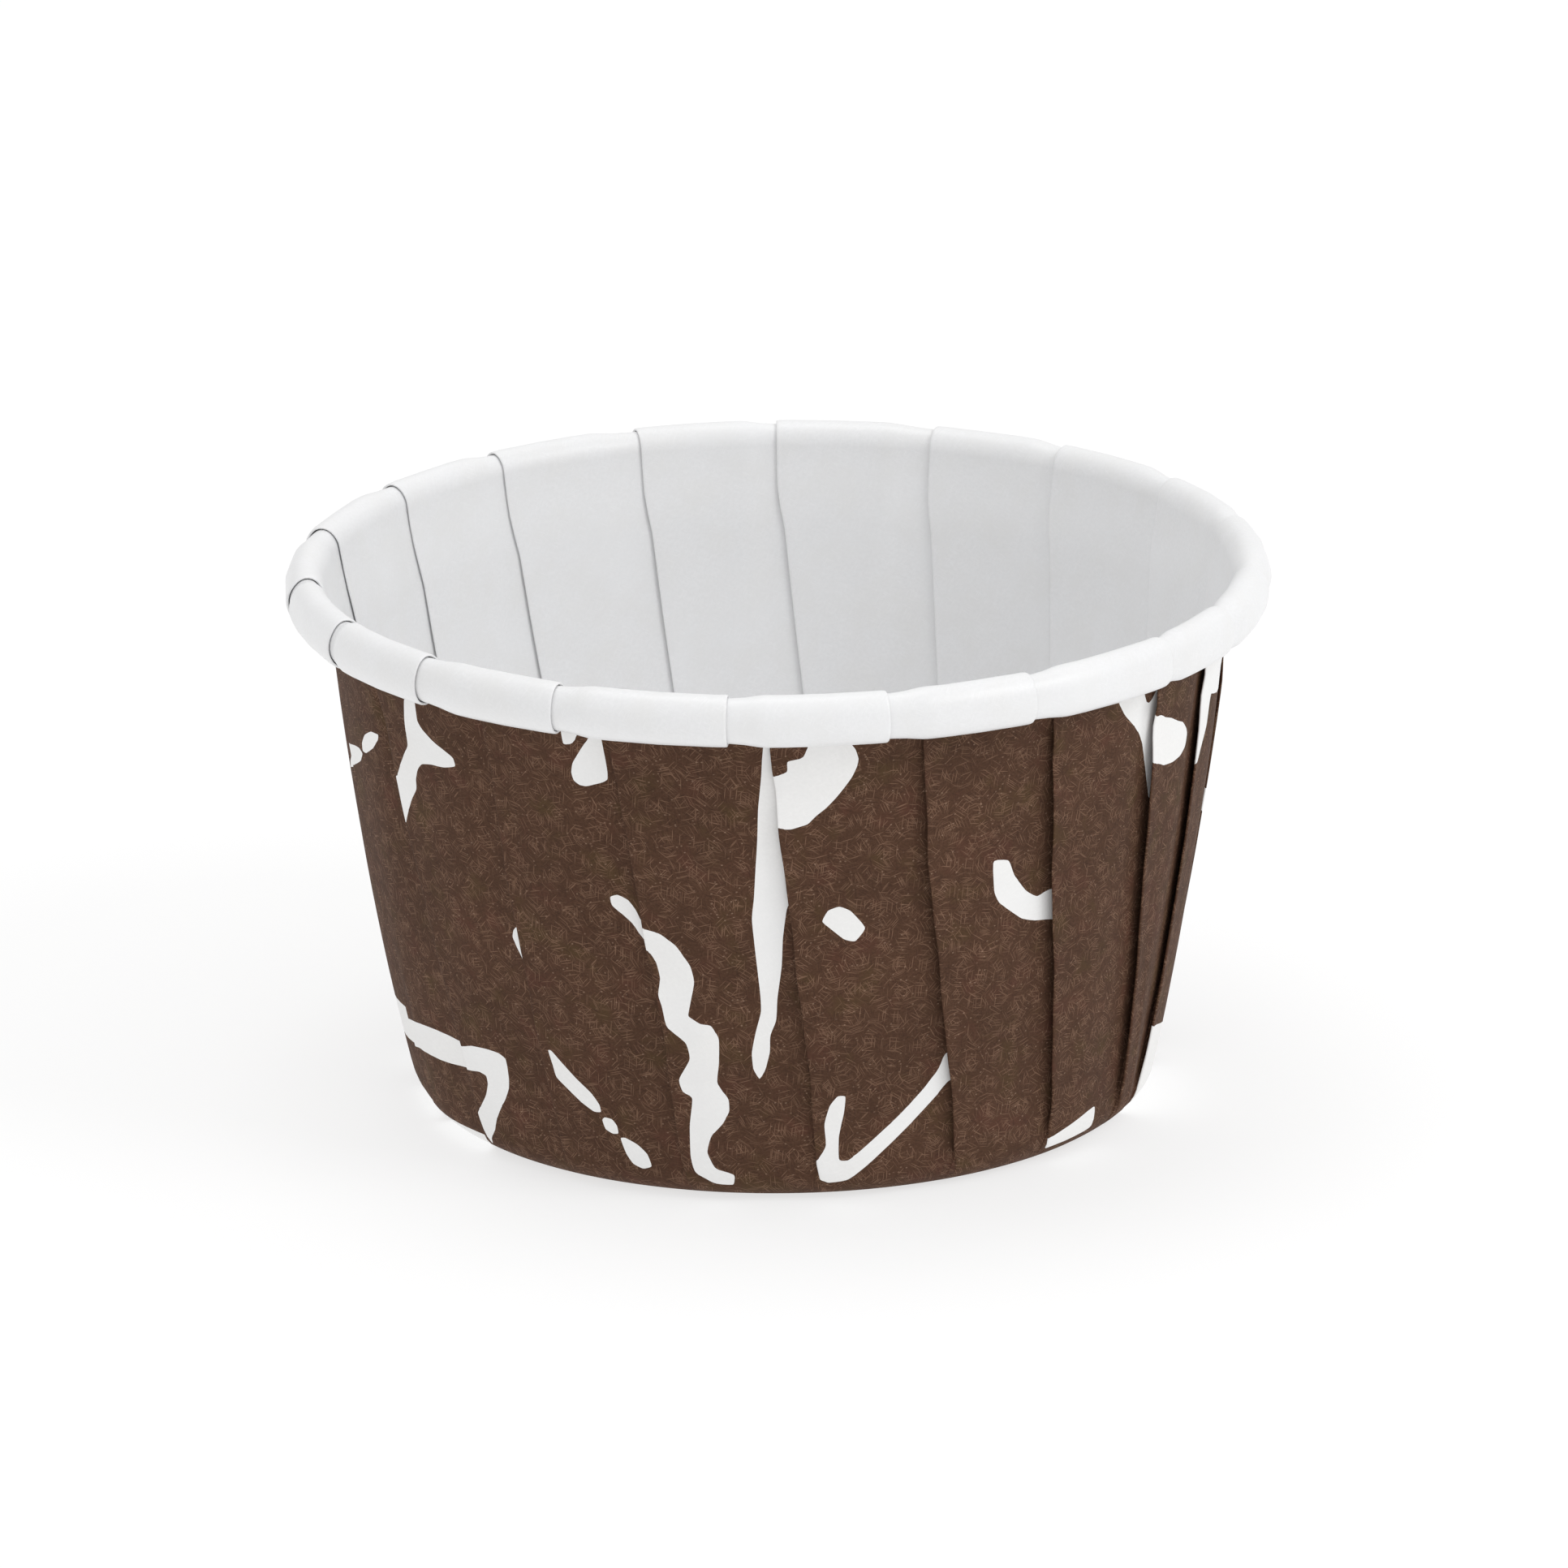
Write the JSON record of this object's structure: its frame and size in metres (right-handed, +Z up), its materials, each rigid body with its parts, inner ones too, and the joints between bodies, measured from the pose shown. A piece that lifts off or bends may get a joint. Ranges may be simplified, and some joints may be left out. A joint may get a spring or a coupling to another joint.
{
  "type": "pleated paper baking cup",
  "caption": "Round baking cup pressed from one sheet of paper: flat base, flared wall of knife pleats, rolled rim; dark brown with white splashes outside, plain white inside.",
  "frame": {"origin": "centre of the flat underside, where the cup stands", "axes": "+Z up through the open mouth; -Y is the side that the picture shows"},
  "size_m": [0.0652, 0.0654, 0.0368],
  "materials": {
    "printed_paper": "matte",
    "white_paper": "satin"
  },
  "bodies": {
    "root": {"pleated_paper_cup": "printed_paper"}
  },
  "joints": []
}
